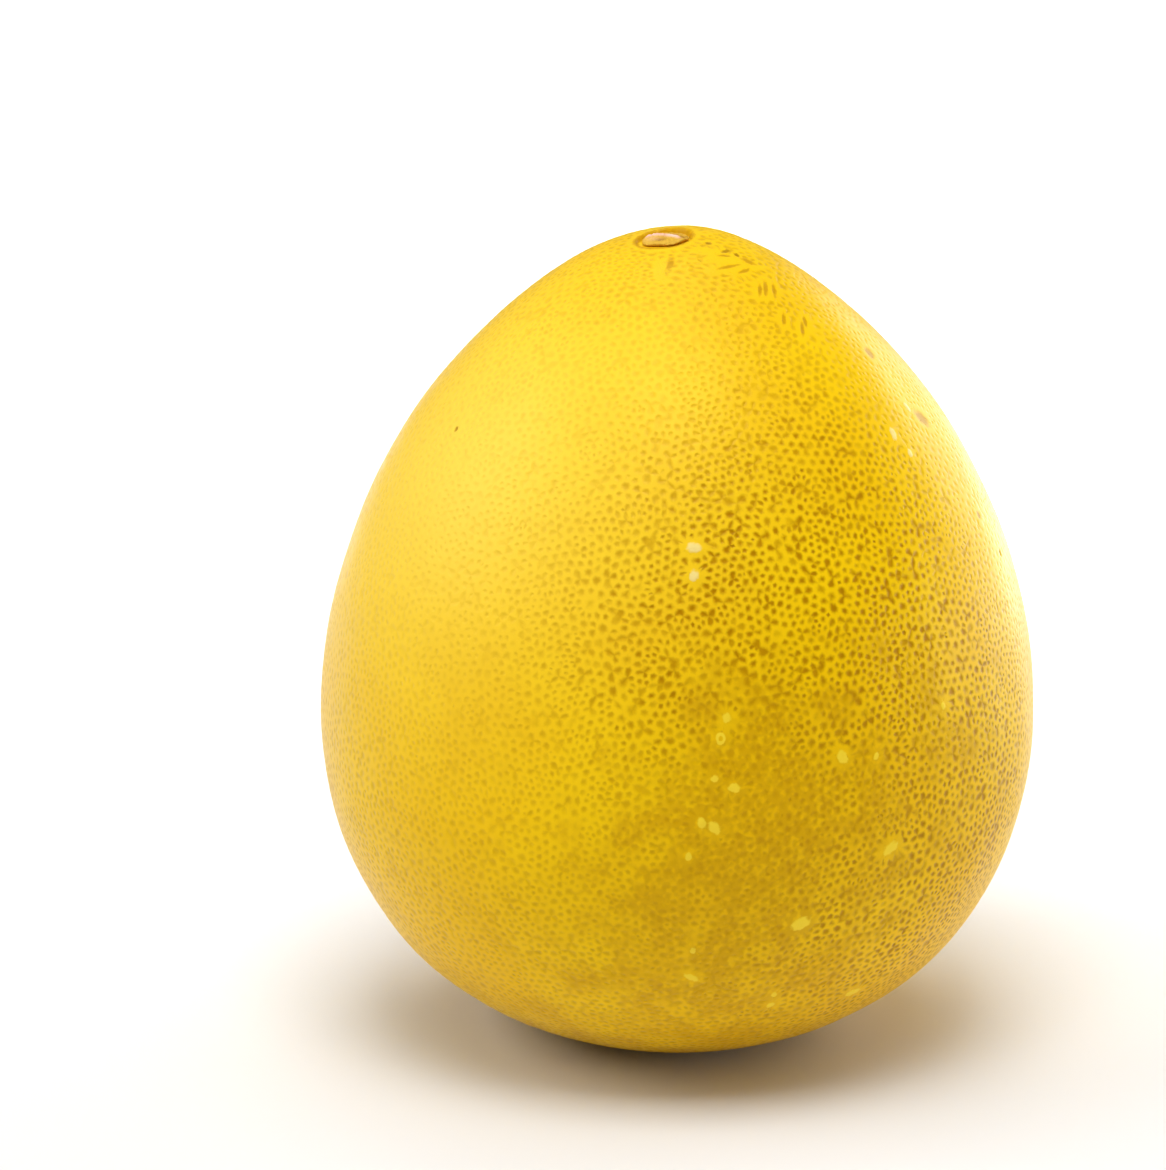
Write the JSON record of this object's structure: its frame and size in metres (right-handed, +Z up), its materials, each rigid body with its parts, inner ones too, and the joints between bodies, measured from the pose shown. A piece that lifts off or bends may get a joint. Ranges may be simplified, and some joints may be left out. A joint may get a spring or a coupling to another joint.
{
  "type": "pomelo",
  "caption": "Whole yellow pomelo, pear-shaped, standing on its blossom end, with dimpled peel and a dry stem button set in a shallow basin at the top.",
  "frame": {"origin": "middle of the fruit's outline on the surface it stands on", "axes": "+Z up along the fruit's core, from the blossom end to the stem end; -Y is the side that faces the viewer; the stem button is a little off the core, to the -X and -Y side"},
  "size_m": [0.15, 0.1482, 0.1726],
  "materials": {
    "peel": "waxy yellow citrus peel, semi-gloss, finely pitted",
    "dry_stalk": "dry, matt"
  },
  "bodies": {
    "root": {"fruit": "peel", "stem_button": "dry_stalk"}
  },
  "joints": []
}
